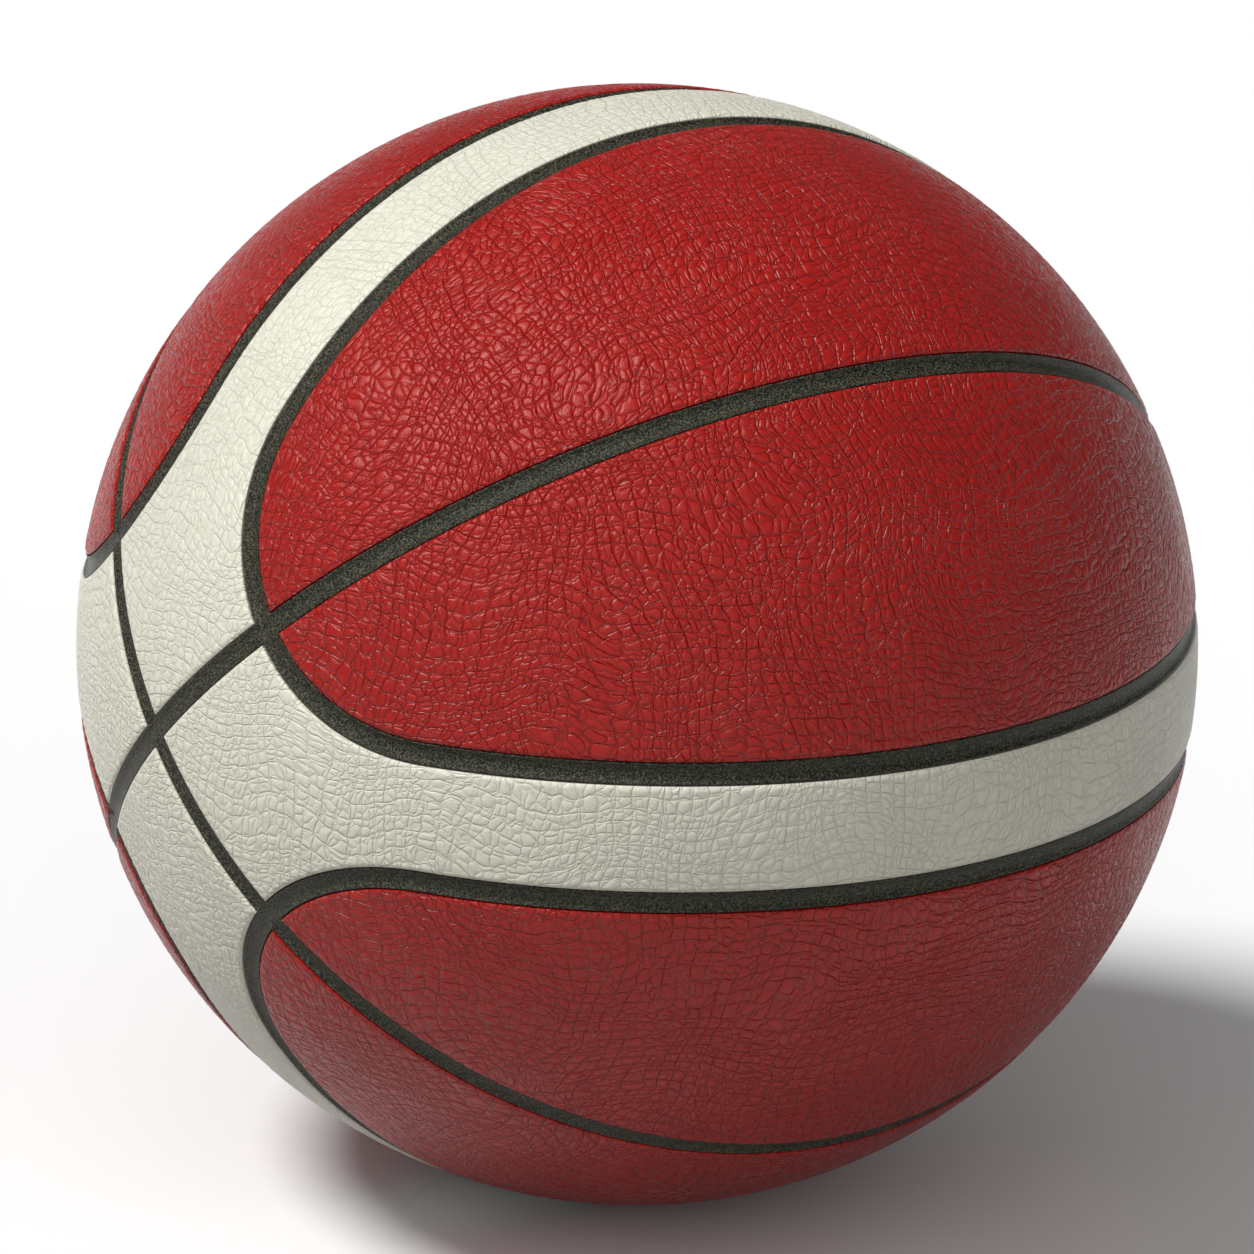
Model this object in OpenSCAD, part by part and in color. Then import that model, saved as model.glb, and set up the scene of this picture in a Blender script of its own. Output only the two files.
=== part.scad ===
// A laminated basketball, taken apart into the pieces that it is made of.
// The origin is the centre of the ball. The two full-circle channels cross on the X axis,
// an off-white band runs over each of +Z, -Y, -Z and +Y, and the valve's axis is +Y.
// From the centre outwards: bladder, thread winding, rubber carcass with its raised ribs,
// and the cover panels, which are cemented on the carcass between the ribs.

/* [Ball] */
// Diameter over the cover panels
ball_d = 242; // [200:1:280]
// Thickness of a cover panel with its backing
panel_t = 1.7; // [1.4:0.1:2.4]
// Thickness of the cement film between one layer and the next
cement_t = 0.15; // [0.1:0.05:0.25]
// Wall of the rubber carcass under the panels
carcass_t = 1.0; // [0.7:0.1:1.6]
// Thickness of the thread winding
winding_t = 0.6; // [0.4:0.1:1.2]
// Wall of the bladder
bladder_t = 0.9; // [0.6:0.1:1.5]

/* [Channels] */
// Width of a channel from panel edge to panel edge
channel_w = 5.2; // [3.5:0.1:7]
// Depth of a channel's floor below the panels' outer surface
channel_depth = 1.0; // [0.6:0.1:1.2]
// Gap between a panel's edge and the rib beside it
edge_gap = 0.15; // [0.1:0.05:0.3]
// Width of an off-white band between the centre lines of its two channels
band_pitch = 28.4; // [24:0.2:34]
// Distance of a band's centre line from the diagonal between the full circles
band_shift = 1.3; // [0:0.1:2.5]
// Angle from a crossing to the centre of an oval's round end
end_angle = 45; // [42:1:48]

/* [Valve] */
// Outer radius of the valve housing's neck, which shows in the panel's hole
neck_r = 5.0; // [4.6:0.1:6]
// Depth of the neck's outer face below the panels' outer surface
neck_sink = 0.5; // [0.3:0.1:0.8]
// Radius of the valve core's body
core_r = 2.9; // [2.5:0.1:3.2]
// Length of the valve core
core_l = 16; // [13:0.5:20]
// Radius of the valve core's head
core_head_r = 3.7; // [3.5:0.1:4]
// Thickness of the valve core's head
core_head_t = 1.5; // [1:0.1:2.5]
// Radius of the needle passage through the valve core
needle_r = 0.95; // [0.8:0.05:1.1]
// Radius of the funnel at the mouth of the needle passage
funnel_r = 1.7; // [1.5:0.1:2]
// Depth of that funnel
funnel_depth = 0.8; // [0.5:0.1:1.2]
// Radial clearance of the valve core in its housing
core_fit = 0.05; // [0.03:0.01:0.08]
// Thickness of the housing's floor under the valve core
seat_t = 1.6; // [1:0.1:2.5]
// Radius of the air hole in the housing's floor
air_hole_r = 1.3; // [1.2:0.1:1.8]
// Radius of the housing's flange inside the bladder
flange_r = 14; // [11:0.5:18]
// Thickness of the housing's flange
flange_t = 1.4; // [1:0.1:2]
// Radius of the patch between the bladder and the flange
patch_r = 22; // [19:0.5:28]
// Thickness of that patch
patch_t = 0.8; // [0.5:0.1:1.2]
// Radial gap between the neck and each layer that it passes
neck_gap = 0.2; // [0.1:0.05:0.4]
// Width that the thread keeps clear round the neck
thread_clear = 1.0; // [0.6:0.1:2]

/* [Hidden] */

// Outer radius of each layer, from the cover inwards
ball_r = ball_d / 2;
panel_in_r = ball_r - panel_t;
rib_r = ball_r - channel_depth;
carcass_r = panel_in_r - cement_t;
carcass_in_r = carcass_r - carcass_t;
winding_r = carcass_in_r - cement_t;
winding_in_r = winding_r - winding_t;
bladder_r = winding_in_r - cement_t;
bladder_in_r = bladder_r - bladder_t;
patch_out_r = bladder_in_r - cement_t;
patch_in_r = patch_out_r - patch_t;
flange_out_r = patch_in_r - cement_t;
flange_in_r = flange_out_r - flange_t;

// Heights along the valve's axis, from the centre of the ball
neck_top = ball_r - neck_sink;
core_top = neck_top;
core_bottom = core_top - core_l;
head_bottom = core_top - core_head_t;
housing_bottom = core_bottom - core_fit - seat_t;

// Width of a rib, and the angles at which an oval's round end meets its long sides
rib_w = channel_w - 2 * edge_gap;
half_share = sqrt(2) / 2;
side_turn = atan2(sin(end_angle) * half_share, cos(end_angle));
end_turn = atan2(1, cos(end_angle));

// Counts of the flat strips that make up an oval's outline, and the smoothness of round faces
end_strips = 12;
side_strips = 10;
$fn = 144;

// Reach of the cutting shapes, as a share of the ball's radius, and the overrun of a cut
reach_share = 1.6;
cut_over = cement_t;

// Angle at the centre of the ball that a length along its surface spans
function span(length) = length / ball_r * 180 / PI;

// Angle from the diagonal to the side channel of a wide or a narrow oval
function side_angle(wide) = span(band_pitch / 2 + (wide ? -band_shift : band_shift));

// Direction to a point of an oval's round end. The oval's middle is on +Z and its length on X.
function end_dir(radius, turn) = [
    cos(radius) * cos(end_angle) + sin(radius) * cos(turn) * sin(end_angle),
    sin(radius) * sin(turn),
    cos(radius) * sin(end_angle) - sin(radius) * cos(turn) * cos(end_angle)
];

// Direction to a point of an oval's long side
function side_dir(angle, turn) = [
    cos(angle) * cos(turn),
    half_share * (cos(angle) * sin(turn) - sin(angle)),
    half_share * (cos(angle) * sin(turn) + sin(angle))
];

// A quarter of an oval's outline, from the tip on +X to the middle of the side on +Y
function quarter_outline(side, radius) = concat(
    [for (i = [0:end_strips / 2]) end_dir(radius, end_turn * i * 2 / end_strips)],
    [for (i = [1:side_strips / 2]) side_dir(side, side_turn + (90 - side_turn) * i * 2 / side_strips)]
);

function flipped(points) = [for (i = [len(points) - 1:-1:0]) points[i]];
function without_ends(points) = [for (i = [1:len(points) - 2]) points[i]];

// The whole outline, once round: the quarter and its three mirror images
function oval_outline(side, radius) = let (
    q = quarter_outline(side, radius),
    half = concat(q, [for (p = flipped(without_ends(q))) [-p.x, p.y, p.z]], [[-q[0].x, 0, q[0].z]])
) concat(half, [for (p = flipped(without_ends(half))) [p.x, -p.y, p.z]]);

// Everything that lies over one oval, as a cone of flat strips from the centre of the ball.
// The outline lies grow outside the centre line of the oval's channel, along the surface.
module oval_cone(wide, grow) {
    side = side_angle(wide) - span(grow);
    radius = asin(sin(end_angle) * half_share) - side;
    outline = oval_outline(side, radius);
    last = len(outline);
    far = reach_share * ball_r;
    polyhedron(
        points = concat([[0, 0, 0]], far * outline, [[0, 0, far]]),
        faces = concat(
            [for (i = [1:last]) [0, i, i % last + 1]],
            [for (i = [1:last]) [last + 1, i % last + 1, i]]
        )
    );
}

// The half of space that lies above a plane at a height
module above(height) {
    reach = 2 * ball_r;
    translate([-reach, -reach, height]) cube([2 * reach, 2 * reach, reach]);
}

module shell(outer, inner) {
    difference() {
        sphere(outer);
        sphere(inner);
    }
}

// Turns a shape about the X axis, so that its +Z comes to lie over an oval or a band.
// A turn of 0 is the top, 90 the front, 180 the bottom and -90 the back.
module around(turn) {
    rotate([turn, 0, 0]) children();
}

// The space of one red panel in a layer of the ball, drawn back by inset from the channel's
// centre lines. The half on +Y of the full circle along the oval is kept, or the other one.
module red_space(turn, wide, far_half, outer, inner, inset) {
    around(turn) intersection() {
        shell(outer, inner);
        oval_cone(wide, -inset);
        around(far_half ? -90 : 90) above(inset);
    }
}

// The space of one off-white panel, between the two full circles and beside two ovals
module cream_space(turn, wide_ahead, outer, inner, inset) {
    around(turn) difference() {
        intersection() {
            around(90) shell(outer, inner);
            around(45) above(inset);
            around(-45) above(inset);
        }
        around(-45) oval_cone(wide_ahead, inset);
        around(45) oval_cone(!wide_ahead, inset);
    }
}

module red_panel(turn, wide, far_half) {
    color("firebrick") red_space(turn, wide, far_half, ball_r, panel_in_r, channel_w / 2);
}

module cream_panel(turn, wide_ahead) {
    color("ivory") cream_space(turn, wide_ahead, ball_r, panel_in_r, channel_w / 2);
}

// A round hole or pin along the valve's axis
module valve_round(radius, bottom, top) {
    around(-90) translate([0, 0, bottom]) cylinder(r = radius, h = top - bottom);
}

module red_panel_top_front() {
    red_panel(45, true, true);
}

module red_panel_front_upper() {
    red_panel(45, true, false);
}

module red_panel_back_upper() {
    red_panel(-45, false, true);
}

module red_panel_top_back() {
    red_panel(-45, false, false);
}

module red_panel_bottom_back() {
    red_panel(-135, true, true);
}

module red_panel_back_lower() {
    red_panel(-135, true, false);
}

module red_panel_front_lower() {
    red_panel(135, false, true);
}

module red_panel_bottom_front() {
    red_panel(135, false, false);
}

module cream_panel_top() {
    cream_panel(0, false);
}

module cream_panel_front() {
    cream_panel(90, true);
}

module cream_panel_bottom() {
    cream_panel(180, false);
}

// The panel at the back has the hole through which the valve shows
module cream_panel_back() {
    color("ivory") difference() {
        cream_space(-90, true, ball_r, panel_in_r, channel_w / 2);
        valve_round(neck_r + neck_gap, carcass_in_r, ball_r + cut_over);
    }
}

// The rubber body that carries the panels. Its ribs are what is left between the pockets.
module carcass() {
    pocket_r = rib_r + cut_over;
    color("darkolivegreen") difference() {
        around(90) shell(rib_r, carcass_in_r);
        for (place = [0:3]) {
            for (far_half = [true, false]) {
                red_space(45 + 90 * place, place % 2 == 0, far_half, pocket_r, carcass_r, rib_w / 2);
            }
            cream_space(90 * place, place % 2 == 1, pocket_r, carcass_r, rib_w / 2);
        }
        valve_round(neck_r + neck_gap, winding_in_r, pocket_r);
    }
}

// Nylon thread, wound over the bladder in great circles until it is a closed layer
module thread_winding() {
    color("gainsboro") difference() {
        shell(winding_r, winding_in_r);
        valve_round(neck_r + neck_gap + thread_clear, bladder_in_r, carcass_r);
    }
}

module bladder() {
    color("dimgray") difference() {
        shell(bladder_r, bladder_in_r);
        valve_round(neck_r + neck_gap, patch_in_r, winding_r);
    }
}

// The round patch that stiffens the bladder's wall where the valve goes through it
module valve_patch() {
    color("black") difference() {
        intersection() {
            shell(patch_out_r, patch_in_r);
            valve_round(patch_r, patch_in_r * half_share, ball_r);
        }
        valve_round(neck_r + neck_gap, flange_in_r, bladder_r);
    }
}

// The moulded seat: a flange on the inside of the patch, and a neck with the core's socket
module valve_housing() {
    head_socket = head_bottom - core_fit;
    color("black") difference() {
        union() {
            intersection() {
                shell(flange_out_r, flange_in_r);
                valve_round(flange_r, flange_in_r * half_share, ball_r);
            }
            valve_round(neck_r, housing_bottom, neck_top);
        }
        valve_round(core_r + core_fit, core_bottom - core_fit, neck_top);
        valve_round(core_head_r + core_fit, head_socket, neck_top + cut_over);
        valve_round(air_hole_r, housing_bottom - cut_over, core_bottom);
    }
}

// The plug that seals the ball. Its needle passage is drawn open, as it is round a needle.
module valve_core() {
    color("dimgray") around(-90) rotate_extrude() polygon([
        [needle_r, core_bottom],
        [core_r, core_bottom],
        [core_r, head_bottom],
        [core_head_r, head_bottom],
        [core_head_r, core_top],
        [funnel_r, core_top],
        [needle_r, core_top - funnel_depth]
    ]);
}

bladder();
valve_patch();
valve_housing();
valve_core();
thread_winding();
carcass();
red_panel_top_front();
red_panel_top_back();
red_panel_front_upper();
red_panel_front_lower();
red_panel_bottom_front();
red_panel_bottom_back();
red_panel_back_upper();
red_panel_back_lower();
cream_panel_top();
cream_panel_front();
cream_panel_bottom();
cream_panel_back();
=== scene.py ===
"""A laminated basketball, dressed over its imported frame. Lengths are in metres."""
import math

import bpy
import numpy as np
from mathutils import Matrix, Vector


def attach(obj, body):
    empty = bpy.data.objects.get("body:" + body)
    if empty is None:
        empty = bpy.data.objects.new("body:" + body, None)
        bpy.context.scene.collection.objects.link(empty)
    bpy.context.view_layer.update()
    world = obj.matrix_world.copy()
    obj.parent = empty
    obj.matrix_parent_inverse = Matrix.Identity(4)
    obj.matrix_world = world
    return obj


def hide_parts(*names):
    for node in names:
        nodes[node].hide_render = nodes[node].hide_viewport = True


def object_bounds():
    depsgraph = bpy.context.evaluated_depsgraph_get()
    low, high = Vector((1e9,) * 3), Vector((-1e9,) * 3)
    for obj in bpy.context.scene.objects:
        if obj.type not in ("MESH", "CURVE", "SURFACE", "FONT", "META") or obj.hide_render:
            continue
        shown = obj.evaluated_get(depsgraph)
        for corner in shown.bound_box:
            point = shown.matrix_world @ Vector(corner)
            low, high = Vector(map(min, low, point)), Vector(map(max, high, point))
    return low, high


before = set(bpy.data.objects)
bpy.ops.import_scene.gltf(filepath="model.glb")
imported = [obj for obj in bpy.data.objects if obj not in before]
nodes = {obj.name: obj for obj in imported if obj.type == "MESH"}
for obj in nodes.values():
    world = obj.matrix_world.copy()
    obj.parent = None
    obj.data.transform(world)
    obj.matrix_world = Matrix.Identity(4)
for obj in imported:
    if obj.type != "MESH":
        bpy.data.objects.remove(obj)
cad_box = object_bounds()

# Camera
# It stands far off and a little above the ball, with a long lens and a slight roll.
# Its place was worked out from where the channels cross in the picture.
picture_px = 1254
ball_centre_px = (637.2, 644.2)
azimuth = math.radians(-33.37)
elevation = math.radians(18.85)
roll = math.radians(1.78)
camera_distance = 2.278
half_view_tangent = 0.05944
sensor = 36

back = Vector((math.sin(azimuth) * math.cos(elevation),
               -math.cos(azimuth) * math.cos(elevation),
               math.sin(elevation)))
level = Vector((math.cos(azimuth), math.sin(azimuth), 0))
upward = back.cross(level)
right = level * math.cos(roll) + upward * math.sin(roll)
up = upward * math.cos(roll) - level * math.sin(roll)
facing = Matrix((right, up, back)).transposed()
bpy.ops.object.camera_add(location=back * camera_distance, rotation=facing.to_euler())
camera = bpy.context.object
camera.data.sensor_width = sensor
camera.data.lens = sensor / (2 * half_view_tangent)
camera.data.shift_x = 0.5 - ball_centre_px[0] / picture_px
camera.data.shift_y = ball_centre_px[1] / picture_px - 0.5
camera.data.clip_start = 0.1
camera.data.clip_end = 50
bpy.context.scene.camera = camera


# Floor and light
# The ball rests on a plain pale studio floor. A large soft lamp stands high on the left, a
# wider one fills in from the front, and the pale room lifts the shadows.
class Wire:
    """One output of a node, with which sums and products can be written."""

    def __init__(self, tree, output=None):
        self.tree = tree
        self.output = output

    def node(self, kind, settings, inputs, output=0):
        """Adds a node, sets it up, and fills its sockets with values or wires."""
        made = self.tree.nodes.new(kind)
        for name, value in settings.items():
            setattr(made, name, value)
        for name, value in inputs.items():
            if isinstance(value, Wire):
                self.tree.links.new(value.output, made.inputs[name])
            else:
                made.inputs[name].default_value = value
        return Wire(self.tree, made.outputs[output] if made.outputs else None)

    def math(self, operation, *values):
        """A math node on this output and the values that follow."""
        return self.node("ShaderNodeMath", {"operation": operation},
                         dict(enumerate((self, *values))))

    def clamped(self):
        return self.node("ShaderNodeClamp", {}, {0: self})

    def __add__(self, other):
        return self.math("ADD", other)

    def __sub__(self, other):
        return self.math("SUBTRACT", other)

    def __rsub__(self, other):
        return self.node("ShaderNodeMath", {"operation": "SUBTRACT"}, {0: other, 1: self})

    def __mul__(self, other):
        return self.math("MULTIPLY", other)

    def __truediv__(self, other):
        return self.math("DIVIDE", other)

    def __pow__(self, other):
        return self.math("POWER", other)

    __radd__ = __add__
    __rmul__ = __mul__


def new_material(name):
    """An empty material, and the wire from which its nodes are made."""
    made = bpy.data.materials.new(name)
    made.use_nodes = True
    made.node_tree.nodes.clear()
    return made, Wire(made.node_tree)


# The floor shows as white, and throws back on the ball what a duller floor would
white = (1, 1, 1, 1)
floor_in_bounces = (0.25, 0.25, 0.25, 1)
shown_to = ("Is Camera Ray", "Is Glossy Ray", "Is Transmission Ray")
bpy.ops.mesh.primitive_plane_add(size=12, location=(0, 0, cad_box[0][2]))
floor = bpy.context.object
floor.name = "studio_floor"
floor_paint, paint = new_material("studio_floor_paint")
camera_ray, glossy_ray, transmission_ray = [
    paint.node("ShaderNodeLightPath", {}, {}, ray) for ray in shown_to]
seen = paint.node("ShaderNodeBsdfDiffuse", {}, {"Color": white})
bounced = paint.node("ShaderNodeBsdfDiffuse", {}, {"Color": floor_in_bounces})
shown = (camera_ray + glossy_ray + transmission_ray).clamped()
mixed = paint.node("ShaderNodeMixShader", {}, {0: shown, 1: bounced, 2: seen})
paint.node("ShaderNodeOutputMaterial", {}, {"Surface": mixed})
floor.data.materials.append(floor_paint)

# Of each lamp: the side it stands on, how bright it makes a white face, and its size in degrees
lamps = {
    "high_lamp": ((-0.51, 0.14, 0.85), 0.87, 18),
    "front_lamp": ((-0.52, -0.79, 0.32), 0.30, 90),
}
lamp_distance = 3
room_light = 0.16
for name, (side, brightness, lamp_size) in lamps.items():
    side = Vector(side)
    bpy.ops.object.light_add(type="SUN", location=side * lamp_distance,
                             rotation=side.to_track_quat("Z", "Y").to_euler())
    lamp = bpy.context.object
    lamp.name = name
    lamp.data.energy = brightness * math.pi
    lamp.data.angle = math.radians(lamp_size)
world = bpy.data.worlds.new("studio_room")
bpy.context.scene.world = world
world.use_nodes = True
world.node_tree.nodes.clear()
room = Wire(world.node_tree)
sky = room.node("ShaderNodeBackground", {}, {"Color": white, "Strength": room_light})
room.node("ShaderNodeOutputWorld", {}, {"Surface": sky})
bpy.context.scene.view_settings.view_transform = "Standard"


# Bladder
# The airtight inner ball is moulded from butyl rubber. It is dusted with talc, which leaves
# its black skin dull and a little cloudy, and everything else is built up on it.
mm = 0.001
fleck_size = 0.4 * mm


def object_place(paint):
    return paint.node("ShaderNodeTexCoord", {}, {}, "Object")


def mix_colours(paint, share, first, second):
    return paint.node("ShaderNodeMix", {"data_type": "RGBA"}, {0: share, 6: first, 7: second}, 2)


def noise(paint, place, size, detail, output=0):
    """Soft random spots of about one size."""
    return paint.node("ShaderNodeTexNoise", {},
                      {"Vector": place, "Scale": 1 / size, "Detail": detail}, output)


def bump_of(paint, height, distance, strength=1):
    return paint.node("ShaderNodeBump", {},
                      {"Strength": strength, "Distance": distance, "Height": height})


def principled(paint, inputs):
    """The finished surface of a material."""
    surface = paint.node("ShaderNodeBsdfPrincipled", {}, inputs)
    paint.node("ShaderNodeOutputMaterial", {}, {"Surface": surface})


def coat_part(part, material):
    """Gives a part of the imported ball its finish."""
    for slot in part.material_slots:
        slot.material = material


def rubber(name, dark, pale, roughness, spot_size, bump_height):
    """Moulded rubber, clouded from a dark to a pale colour in spots of one size."""
    made, paint = new_material(name)
    place = object_place(paint)
    cloud = noise(paint, place, spot_size, 4)
    fleck = noise(paint, place, fleck_size, 2)
    principled(paint, {
        "Base Color": mix_colours(paint, ((cloud - 0.35) * 3).clamped(), dark, pale),
        "Roughness": cloud * 0.2 + (roughness - 0.1),
        "Normal": bump_of(paint, cloud * 0.5 + fleck, bump_height)})
    return made


talced_butyl = rubber("talced_butyl", dark=(0.012, 0.012, 0.013, 1), pale=(0.05, 0.05, 0.05, 1),
                      roughness=0.6, spot_size=20 * mm, bump_height=0.1 * mm)
coat_part(nodes["bladder"], talced_butyl)


# Valve patch
# A disc of stiffer rubber is vulcanised on the inside of the bladder, where the valve goes
# through it. It is matt black, and slightly browner than the bladder.
patch_rubber = rubber("patch_rubber", dark=(0.02, 0.018, 0.015, 1), pale=(0.045, 0.04, 0.034, 1),
                      roughness=0.75, spot_size=8 * mm, bump_height=0.1 * mm)
coat_part(nodes["valve_patch"], patch_rubber)


# Valve housing
# The moulded seat has a flange inside the bladder and a neck that comes out through every
# layer. It is soft black rubber, and its mould leaves every rim rounded.
def take_in_hand(part):
    """Makes a part the only one that is selected, and the one that operators work on."""
    bpy.ops.object.select_all(action="DESELECT")
    part.select_set(True)
    bpy.context.view_layer.objects.active = part


def softened(node, name, body, rounding, material):
    """A moulded piece with rounded rims, made from a copy of its plain part."""
    piece = bpy.data.objects.new(name, nodes[node].data.copy())
    bpy.context.scene.collection.objects.link(piece)
    take_in_hand(piece)
    bpy.ops.object.mode_set(mode="EDIT")
    bpy.ops.mesh.select_all(action="SELECT")
    bpy.ops.mesh.remove_doubles(threshold=0.002 * mm)
    bpy.ops.mesh.dissolve_limited(angle_limit=math.radians(0.5))
    bpy.ops.object.mode_set(mode="OBJECT")
    rims = piece.modifiers.new("rounded_rims", "BEVEL")
    rims.width = rounding
    rims.segments = 3
    rims.angle_limit = math.radians(40)
    rims.use_clamp_overlap = False
    bpy.ops.object.modifier_apply(modifier=rims.name)
    piece.data.materials.clear()
    piece.data.materials.append(material)
    bpy.ops.object.shade_smooth_by_angle(angle=math.radians(40))
    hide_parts(node)
    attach(piece, body)


valve_rubber = rubber("black_valve_rubber", dark=(0.010, 0.010, 0.010, 1),
                      pale=(0.020, 0.020, 0.019, 1), roughness=0.5, spot_size=3 * mm,
                      bump_height=0.04 * mm)
softened("valve_housing", "valve_seat", "ball", 0.3 * mm, valve_rubber)


# Valve core
# The plug of grey rubber is pushed into the housing and closes on the needle. It is moulded
# too, and the rims of its head are rounded, so that a fine groove shows round it.
core_rubber = rubber("grey_plug_rubber", dark=(0.055, 0.053, 0.050, 1),
                     pale=(0.10, 0.097, 0.092, 1), roughness=0.5, spot_size=2 * mm,
                     bump_height=0.04 * mm)
softened("valve_core", "valve_plug", "valve_core", 0.25 * mm, core_rubber)


# Thread winding
# Kilometres of nylon thread are wound over the bladder in great circles, and hold the ball
# round. The threads lie in bundles that cross each other in every direction.
thread_pitch = 0.5 * mm
bundles_per_metre = 60
centred = (0.5, 0.5, 0.5)


def vector_math(paint, operation, inputs, output=0):
    return paint.node("ShaderNodeVectorMath", {"operation": operation}, inputs, output)


winding, paint = new_material("nylon_thread")
place = object_place(paint)
bundle = paint.node("ShaderNodeTexVoronoi", {}, {"Vector": place, "Scale": bundles_per_metre},
                    "Color")
course = vector_math(paint, "SUBTRACT", {0: bundle, 1: centred})
course = vector_math(paint, "NORMALIZE", {0: course})
across = vector_math(paint, "DOT_PRODUCT", {0: place, 1: course}, "Value")
thread = (across * (2 * math.pi / thread_pitch)).math("SINE") * 0.5 + 0.5
principled(paint, {
    "Base Color": mix_colours(paint, thread, (0.30, 0.29, 0.26, 1), (0.72, 0.71, 0.66, 1)),
    "Roughness": 0.55,
    "Normal": bump_of(paint, thread, 0.15 * mm)})
coat_part(nodes["thread_winding"], winding)


# Carcass
# A layer of dark olive rubber is vulcanised over the winding. Between the panels it stands
# up in ribs with a hollow top, which are the ball's channels, and the panels lie between them.
ball_r = 121 * mm
channel_w = 5.2 * mm
band_pitch = 28.4 * mm
band_shift = 1.3 * mm
pocket_r = 119.15 * mm
carcass_in_r = 118.15 * mm
carcass_pitch = 2.3 * mm
neck_hole_r = 5.2 * mm
# A rib's profile: how far from its middle line, and how deep under the covers' face
rib_rows = (0, 0.8 * mm, 1.4 * mm, 1.8 * mm, 2.05 * mm, 2.25 * mm, 2.4 * mm)
rib_depths = (1.3 * mm, 1.2 * mm, 0.95 * mm, 0.65 * mm, 0.5 * mm, 0.55 * mm, 0.8 * mm)
carcass_rows = rib_rows[1:] + (channel_w / 2,)
# Angles from a cream band's middle to the side of the wide and of the narrow oval beside it
side_wide = (band_pitch / 2 - band_shift) / ball_r
side_narrow = (band_pitch / 2 + band_shift) / ball_r
# An oval's round end is an arc about a place 30 degrees from the band's middle. It begins where
# x is end_slope times z, and its plane stands at the sine of end_turn and the side's angle.
end_reach = math.radians(30)
end_turn = math.radians(60)
end_slope = math.sqrt(2)
half_root = math.sqrt(0.5)


def oval_lines(side, ahead):
    """The circles along an oval's side and round its end: a direction, an angle and a stretch."""
    return [((0, ahead, 0), side, "middle"),
            ((half_root, ahead / 2, 0.5), end_turn + side, "end")]


wide_oval = oval_lines(side_wide, -1)
narrow_oval = oval_lines(side_narrow, 1)
front_circle = ((0, half_root, half_root), 0, "whole")
back_circle = ((0, -half_root, half_root), 0, "whole")
stretches = {
    "whole": lambda places: places[:, 2] > -1,
    "middle": lambda places: places[:, 0] < end_slope * places[:, 2],
    "end": lambda places: places[:, 0] > end_slope * places[:, 2],
}


def places_of(part):
    places = np.empty(len(part.data.vertices) * 3)
    part.data.vertices.foreach_get("co", places)
    return places.reshape(-1, 3)


def place_again(part, places):
    part.data.vertices.foreach_set("co", places.ravel())
    part.data.update()


def set_radius(part, radius):
    """Moves each vertex to its own distance from the ball's centre."""
    places = places_of(part)
    place_again(part, places * (radius / np.linalg.norm(places, axis=1))[:, None])


def to_channel(places):
    """Distance of each place from the nearest channel's centre line, along the ball."""
    x, y, z = (places / np.linalg.norm(places, axis=1)[:, None]).T
    front, behind = np.abs(y + z) * half_root, np.abs(z - y) * half_root
    x, y, z = np.abs(x), (front - behind) * half_root, (front + behind) * half_root
    side = np.where(y > 0, side_narrow, side_wide)
    to_side = np.abs(np.arcsin(np.abs(y)) - side)
    from_end = np.arccos(np.clip(half_root * x + np.abs(y) / 2 + z / 2, -1, 1))
    to_end = np.abs(from_end - end_reach + side)
    to_oval = np.where(x < end_slope * z, to_side, to_end)
    return np.minimum(to_oval, np.arcsin(np.minimum(front, behind))) * ball_r


def cut(radius, line, inset, keep=0):
    """Cuts the sheet in hand along a line that is moved by an angle. Keep 0 keeps both sides."""
    bpy.ops.object.mode_set(mode="OBJECT")
    faces = bpy.context.object.data.polygons
    centres = np.empty(len(faces) * 3)
    faces.foreach_get("center", centres)
    bpy.ops.object.mode_set(mode="EDIT")
    bpy.ops.mesh.select_mode(type="FACE")
    bpy.ops.mesh.select_all(action="DESELECT")
    bpy.ops.object.mode_set(mode="OBJECT")
    direction, angle, stretch = line
    faces.foreach_set("select", stretches[stretch](centres.reshape(-1, 3)))
    bpy.ops.object.mode_set(mode="EDIT")
    height = radius * math.sin(angle + inset)
    bpy.ops.mesh.bisect(plane_co=tuple(height * n for n in direction), plane_no=direction,
                        clear_inner=keep > 0, clear_outer=keep < 0, threshold=1e-7)


def curved_sheet(name, radius, pitch):
    """A sheet over an eighth of the ball, from the X axis to the Z axis."""
    quarter = math.pi / 2
    steps = math.ceil(radius * quarter / pitch)
    bpy.ops.object.select_all(action="DESELECT")
    bpy.ops.mesh.primitive_grid_add(x_subdivisions=steps, y_subdivisions=steps, size=quarter)
    sheet = bpy.context.object
    sheet.name = name
    turn, rise, _ = places_of(sheet).T
    turn = turn + quarter / 2
    place_again(sheet, radius * np.stack([np.cos(rise) * np.cos(turn),
                                          np.sin(rise),
                                          np.cos(rise) * np.sin(turn)], 1))
    cut(radius, ((1, 0, -end_slope), 0, "whole"), 0)
    return sheet


def close_sheet(sheet, axes, middle=None):
    """Merges what a cut left too close, and mirrors the sheet over its other places."""
    bpy.ops.mesh.select_all(action="SELECT")
    bpy.ops.mesh.remove_doubles(threshold=0.04 * mm)
    bpy.ops.mesh.normals_make_consistent(inside=False)
    bpy.ops.object.mode_set(mode="OBJECT")
    mirror = sheet.modifiers.new("other_sides", "MIRROR")
    mirror.use_axis = axes
    mirror.mirror_object = middle
    mirror.merge_threshold = 0.01 * mm
    bpy.ops.object.modifier_apply(modifier=mirror.name)


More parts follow.
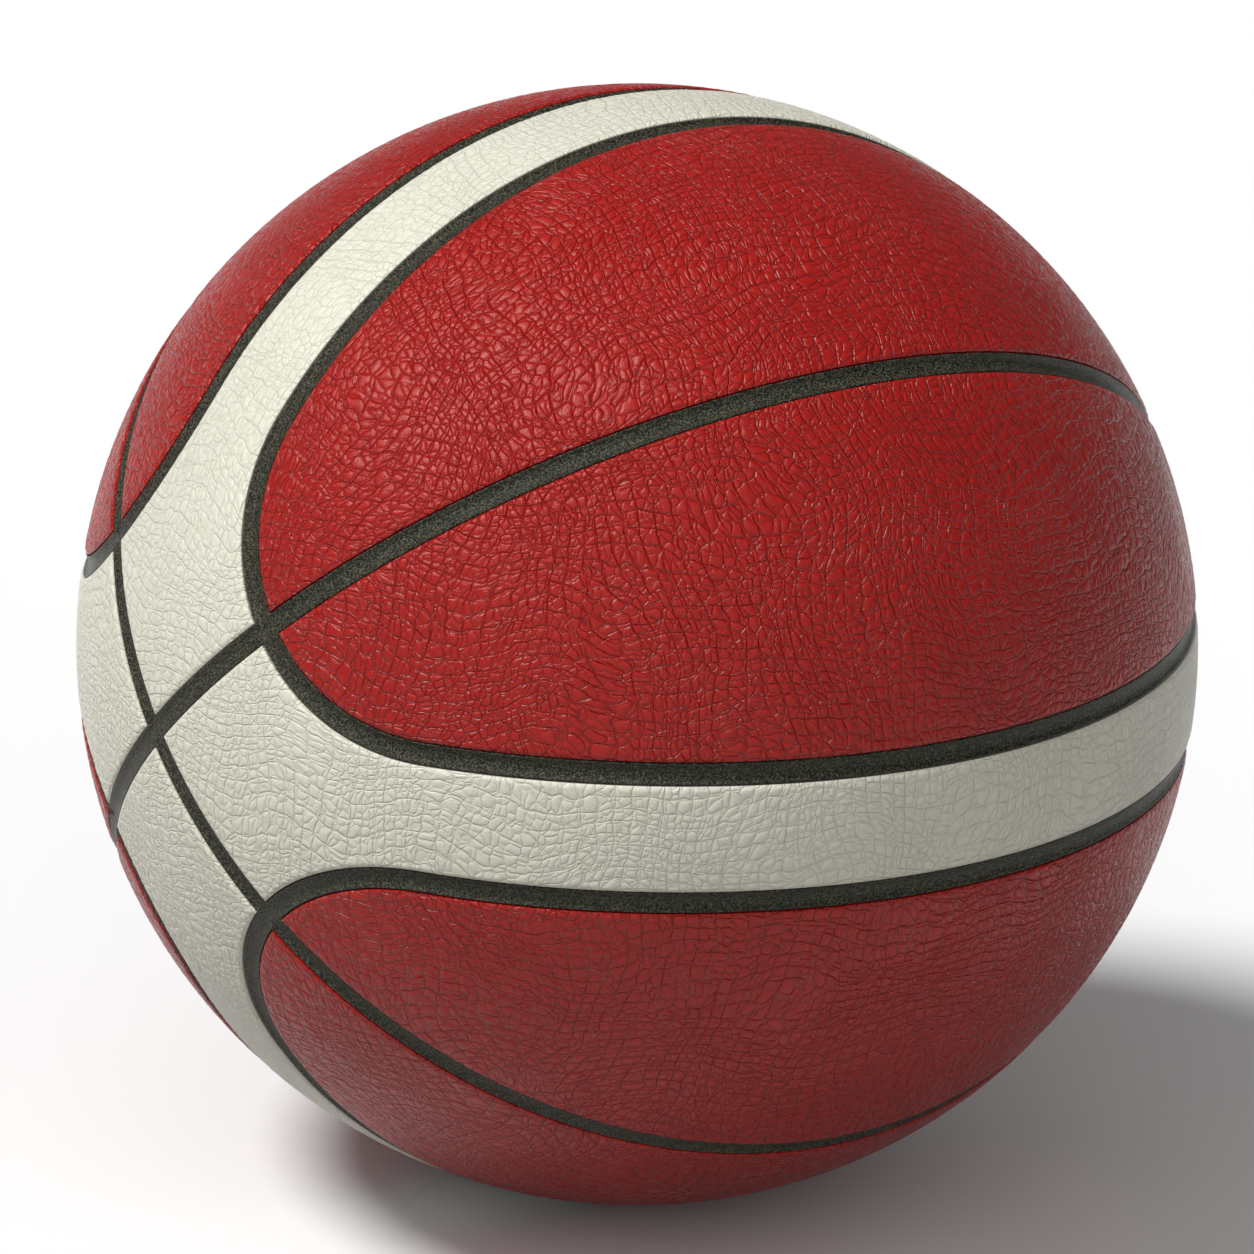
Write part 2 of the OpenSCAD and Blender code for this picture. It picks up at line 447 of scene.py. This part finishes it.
def add_hole(part):
    """Cuts the round hole for the housing's neck, along the valve's axis."""
    bpy.ops.object.select_all(action="DESELECT")
    bpy.ops.mesh.primitive_cylinder_add(vertices=96, radius=neck_hole_r, depth=20 * mm,
                                        location=(0, ball_r, 0), rotation=(math.pi / 2, 0, 0))
    punch = bpy.context.object
    bpy.context.view_layer.objects.active = part
    hole = part.modifiers.new("valve_hole", "BOOLEAN")
    hole.solver = "MANIFOLD"
    hole.object = punch
    bpy.ops.object.modifier_apply(modifier=hole.name)
    bpy.data.objects.remove(punch)
    part.data.materials.clear()


bpy.ops.object.select_all(action="DESELECT")
bpy.ops.object.empty_add(rotation=(math.pi / 4, 0, 0))
circles_cross = bpy.context.object
carcass = curved_sheet("rubber_carcass", ball_r, carcass_pitch)
for line in (front_circle, back_circle):
    cut(ball_r, line, 0, 1)
    for row in carcass_rows:
        cut(ball_r, line, row / ball_r)
for line in wide_oval + narrow_oval:
    cut(ball_r, line, 0)
    for row in carcass_rows:
        cut(ball_r, line, row / ball_r)
        cut(ball_r, line, -row / ball_r)
close_sheet(carcass, (True, True, True), circles_cross)
bpy.data.objects.remove(circles_cross)
away = to_channel(places_of(carcass))
hollow = np.interp(away, rib_rows, rib_depths)
in_rib = away < rib_rows[-1] + 0.01 * mm
set_radius(carcass, np.where(in_rib, ball_r - hollow, pocket_r))
bpy.ops.object.select_all(action="DESELECT")
bpy.ops.mesh.primitive_ico_sphere_add(subdivisions=6, radius=carcass_in_r)
bpy.ops.object.mode_set(mode="EDIT")
bpy.ops.mesh.flip_normals()
bpy.ops.object.mode_set(mode="OBJECT")
carcass.select_set(True)
bpy.context.view_layer.objects.active = carcass
bpy.ops.object.join()
add_hole(carcass)

# The rubber is full of fine pale flecks and short pale curls
dark_olive = (0.006, 0.006, 0.003, 1)
# The pale fleck colour is partly the rubber's own tone and partly painted sheen
pale_fleck_and_sheen = (0.085, 0.083, 0.052, 1)
# The curl colour is partly worn skin and partly painted glints off fine wrinkles
worn_skin_and_glints = (0.2, 0.195, 0.14, 1)
olive_rubber, paint = new_material("carcass_rubber")
place = object_place(paint)
fleck = noise(paint, place, fleck_size, 3)
cloud = noise(paint, place, 6 * mm, 2)
swirl = noise(paint, place, 1 * mm, 1) - 0.5
curl = (1 - swirl.math("ABSOLUTE") * 18).clamped() * ((fleck - 0.42) * 6).clamped()
tint = mix_colours(paint, ((fleck - 0.46) * 7).clamped(), dark_olive, pale_fleck_and_sheen)
principled(paint, {
    "Base Color": mix_colours(paint, curl * 0.7, tint, worn_skin_and_glints),
    "Roughness": cloud * 0.2 + 0.25,
    "Specular IOR Level": 0.22,
    "Normal": bump_of(paint, fleck * 0.3 + curl * 0.08, 1 * mm)})
carcass.data.materials.append(olive_rubber)
bpy.ops.object.shade_smooth_by_angle(angle=math.radians(35))
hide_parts("carcass")
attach(carcass, "ball")


# Cover panels
# Twelve panels of composite leather are cut out with a die, skived thin at their edges and
# cemented between the ribs. Their face is pressed with a deep grain of folds and cells.
panel_in_r = 119.3 * mm
cover_pitch = 0.5 * mm
backing_pitch = 4 * mm
# A panel's edge: its face falls off over a width by a drop, and then a wall goes down in steps
edge_round = 1.1 * mm
edge_drop = 0.45 * mm
edge_rows = (0.15 * mm, 0.35 * mm, 0.6 * mm, 0.95 * mm)
wall_radii = (ball_r - edge_drop, ball_r - edge_drop - 0.12 * mm, panel_in_r + 0.1 * mm)
# The grain, in millimetres: sizes of its patterns, how far they bend, and its lines' half widths
fold_gap = 2.9
cell_size = 2.2
wrinkle_size = 1.15
pore_size = 0.3
flow_size, flow_bend = 24, 13
wave_size, wave_bend = 4.5, 2.2
dome_edge = 0.7
fold_line_w = 0.28
cell_line_w = 0.23
fine_line_w = 0.16
# Depth of the grain's relief, and how far from a panel's edge it is at full depth
grain_depth = 0.12 * mm
grain_start = 0.8 * mm


def one_axis(vector, axis):
    return vector.node("ShaderNodeSeparateXYZ", {}, {0: vector}, axis)


def bending(paint, place, size, detail):
    """Random shifts to every side, which change from place to place."""
    shift = noise(paint, place, size, detail, 1)
    return vector_math(paint, "SUBTRACT", {0: shift, 1: centred})


def cell_edges(paint, place, size):
    """Distance to the nearest edge of random cells."""
    return size * paint.node("ShaderNodeTexVoronoi", {"feature": "DISTANCE_TO_EDGE"},
                             {"Vector": place, "Scale": 1 / size, "Randomness": 0.8})


def grain(paint, place):
    """Places for the grain's patterns, its waves, and how far its folds and cells' edges are."""
    outward = vector_math(paint, "NORMALIZE", {0: place})
    on_ball = vector_math(paint, "SCALE", {0: outward, 3: ball_r / mm})
    flow = bending(paint, on_ball, flow_size, 0)
    wave = bending(paint, on_ball, wave_size, 1)
    bent = vector_math(paint, "MULTIPLY_ADD", {0: flow, 1: (flow_bend,) * 3, 2: on_ball})
    bent = vector_math(paint, "MULTIPLY_ADD", {0: wave, 1: (wave_bend,) * 3, 2: bent})
    folds = []
    for axis in "XYZ":
        away = one_axis(bent, axis).math("PINGPONG", fold_gap / 2)
        turned_up = one_axis(outward, axis)
        folds.append(away + ((turned_up * turned_up - 0.4) * 3).clamped() * 2)
    fold = folds[0].math("MINIMUM", folds[1]).math("MINIMUM", folds[2])
    return on_ball, bent, wave, fold, cell_edges(paint, bent, cell_size)


def dome(fold, cell):
    """Height of the cells' rounded tops, from 0 in their edges to 1."""
    rise = (cell.math("MINIMUM", fold) / dome_edge).clamped()
    return rise * (2 - rise)


def leather(name, top, slope, line, roughness, depth):
    """Coated leather: the colour of its cells' tops, a pale speckle that is partly its own tone
    and partly painted sheen, of their slopes, and of the lines between, which is painted shade in
    the creases.
    """
    made, paint = new_material(name)
    on_ball, bent, wave, fold, cell = grain(paint, object_place(paint))
    wrinkle = cell_edges(paint, bent, wrinkle_size)
    uneven = one_axis(wave, "X")
    patchy = one_axis(wave, "Y")
    pores = noise(paint, on_ball, pore_size, 3)
    # Each kind of line fades in and out from place to place
    fold_line = (1 - fold / fold_line_w).clamped() * (uneven * 3 + 0.75).clamped()
    cell_line = (1 - cell / cell_line_w).clamped() * (0.75 - uneven * 2).clamped()
    fine_line = (1 - wrinkle / fine_line_w).clamped() * (patchy * 6 + 0.4).clamped()
    # In millimetres: the tops rise, three kinds of line go down, and pores roughen the whole
    height = (dome(fold, cell) * 0.10 - fold_line * (fold_line * 0.08 + 0.11)
              - cell_line * (cell_line * 0.06 + 0.08) - fine_line ** 2 * 0.07 + pores * 0.11)
    groove = fold_line.math("MAXIMUM", cell_line)
    # The pale speckle of the top colour is partly the coat's own tone and partly painted sheen
    tint = mix_colours(paint, (pores * 2.2 - 0.5).clamped(), slope, top)
    # The darker line colour in the creases is painted shade
    crease_shade_share = (groove ** 2 + fine_line ** 2 * 0.4).clamped()
    principled(paint, {
        "Base Color": mix_colours(paint, crease_shade_share, tint, line),
        "Roughness": roughness - groove * 0.06,
        "Specular IOR Level": 0.38,
        "Specular Tint": (1, 0.9, 0.82, 1),
        "Normal": bump_of(paint, height, 1 * mm, depth)})
    return made


def grain_modifier():
    """Sinks the face of a panel round the grain's tops, as far as its own attribute allows."""
    tree = bpy.data.node_groups.new("pressed_grain", "GeometryNodeTree")
    tree.interface.new_socket("Geometry", in_out="INPUT", socket_type="NodeSocketGeometry")
    tree.interface.new_socket("Geometry", in_out="OUTPUT", socket_type="NodeSocketGeometry")
    press = Wire(tree)
    before = press.node("NodeGroupInput", {}, {})
    place = press.node("GeometryNodeInputPosition", {}, {})
    _, _, _, fold, cell = grain(press, place)
    share = press.node("GeometryNodeInputNamedAttribute", {"data_type": "FLOAT"},
                       {"Name": "grain_share"})
    lift = share * (dome(fold, cell) - 1) * grain_depth
    outward = vector_math(press, "NORMALIZE", {0: place})
    offset = vector_math(press, "SCALE", {0: outward, 3: lift})
    after = press.node("GeometryNodeSetPosition", {}, {"Geometry": before, "Offset": offset})
    press.node("NodeGroupOutput", {}, {"Geometry": after})
    return tree


def cover_sheet(name, radius, pitch, lines, sides, rows):
    """A sheet of cover in the outline of one panel, scored in rows along its edge."""
    sheet = curved_sheet(name, radius, pitch)
    edge = channel_w / 2 / ball_r
    for line, side in zip(lines, sides):
        cut(radius, line, side * edge, side)
    for line, side in zip(lines, sides):
        for row in rows:
            cut(radius, line, side * (edge + row / ball_r))
    close_sheet(sheet, (True, False, False))
    return sheet


def rounded_face(inward):
    """Radius of a panel's face at its distances from the edge."""
    return ball_r - edge_drop * np.clip(1 - inward / edge_round, 0, 1) ** 2


def select_rims():
    bpy.ops.object.mode_set(mode="EDIT")
    bpy.ops.mesh.select_mode(type="EDGE")
    bpy.ops.mesh.select_all(action="DESELECT")
    bpy.ops.mesh.select_non_manifold(extend=False)


def cover_panel(name, lines, sides):
    """A whole panel in its place on the top of the ball: face, skived edge and backing."""
    panel = cover_sheet(name, ball_r, cover_pitch, lines, sides, edge_rows)
    set_radius(panel, rounded_face(to_channel(places_of(panel)) - channel_w / 2))
    select_rims()
    for above, below in zip(wall_radii, wall_radii[1:]):
        bpy.ops.mesh.extrude_edges_move()
        bpy.ops.transform.resize(value=(below / above,) * 3, center_override=(0, 0, 0))
    bpy.ops.object.mode_set(mode="OBJECT")
    cover_sheet(name + "_backing", panel_in_r, backing_pitch, lines, sides, ())
    panel.select_set(True)
    bpy.context.view_layer.objects.active = panel
    bpy.ops.object.join()
    select_rims()
    bpy.ops.mesh.bridge_edge_loops()
    bpy.ops.mesh.select_all(action="SELECT")
    bpy.ops.mesh.normals_make_consistent(inside=False)
    bpy.ops.object.mode_set(mode="OBJECT")
    return panel


def lay_panel(model, name, turn, mirrored, material):
    """Copies a panel to its place round the X axis, presses its grain, and fixes it."""
    panel = model.copy()
    panel.data = model.data.copy()
    panel.name = name.replace("panel", "cover")
    bpy.context.scene.collection.objects.link(panel)
    take_in_hand(panel)
    places = places_of(panel)
    if mirrored:
        places = places * (1, -1, 1)
    angle = math.radians(turn)
    x, y, z = places.T
    place_again(panel, np.stack([x, y * math.cos(angle) - z * math.sin(angle),
                                 y * math.sin(angle) + z * math.cos(angle)], 1))
    if mirrored:
        panel.data.flip_normals()
    round_valve = name == "cream_panel_back"
    if round_valve:
        add_hole(panel)
    places = places_of(panel)
    radius = np.linalg.norm(places, axis=1)
    inward = to_channel(places) - channel_w / 2
    if round_valve:
        from_axis = np.where(places[:, 1] > 0, np.hypot(places[:, 0], places[:, 2]), 1)
        inward = np.minimum(inward, from_axis - neck_hole_r)
        on_face = radius > ball_r - edge_drop
        set_radius(panel, np.where(on_face, rounded_face(inward), radius))
    above_wall = radius > ball_r - edge_drop + 0.001 * mm
    share = np.where(above_wall, np.clip(inward / grain_start, 0, 1), 0)
    grain_share = panel.data.attributes.new("grain_share", "FLOAT", "POINT")
    grain_share.data.foreach_set("value", share.astype(np.float32))
    press = panel.modifiers.new("pressed_grain", "NODES")
    press.node_group = pressed_grain
    bpy.ops.object.modifier_apply(modifier=press.name)
    panel.data.materials.append(material)
    bpy.ops.object.shade_smooth_by_angle(angle=math.radians(50))
    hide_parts(name)
    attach(panel, "ball")


pressed_grain = grain_modifier()
# Each leather's line colour is painted shade in its creases, and its top colour is partly painted
# sheen
red = leather("red_cover_leather", top=(0.46, 0.013, 0.010, 1), slope=(0.35, 0.003, 0.002, 1),
              line=(0.22, 0.001, 0.001, 1), roughness=0.3, depth=1)
cream = leather("cream_cover_leather", top=(0.85, 0.83, 0.71, 1), slope=(0.80, 0.78, 0.65, 1),
                line=(0.76, 0.73, 0.59, 1), roughness=0.36, depth=0.75)
wide_model = cover_panel("wide_red_model", wide_oval + [front_circle], (1, 1, 1))
narrow_model = cover_panel("narrow_red_model", narrow_oval + [back_circle], (1, 1, 1))
cream_model = cover_panel("cream_model", wide_oval + narrow_oval + [front_circle, back_circle],
                          (-1, -1, -1, -1, 1, 1))
# Of each panel: its model, its turn round the X axis in degrees, and whether it is mirrored
red_layout = {
    "red_panel_top_front": (wide_model, 0, False),
    "red_panel_front_upper": (wide_model, 90, True),
    "red_panel_bottom_back": (wide_model, 180, False),
    "red_panel_back_lower": (wide_model, -90, True),
    "red_panel_top_back": (narrow_model, 0, False),
    "red_panel_back_upper": (narrow_model, -90, True),
    "red_panel_bottom_front": (narrow_model, 180, False),
    "red_panel_front_lower": (narrow_model, 90, True),
}
cream_layout = {
    "cream_panel_top": (cream_model, 0, False),
    "cream_panel_front": (cream_model, 90, True),
    "cream_panel_bottom": (cream_model, 180, False),
    "cream_panel_back": (cream_model, -90, True),
}
for name, place_in_ball in red_layout.items():
    model, turn, mirrored = place_in_ball
    lay_panel(model, name, turn, mirrored, red)
for name, place_in_ball in cream_layout.items():
    model, turn, mirrored = place_in_ball
    lay_panel(model, name, turn, mirrored, cream)
for model in (wide_model, narrow_model, cream_model):
    bpy.data.objects.remove(model)
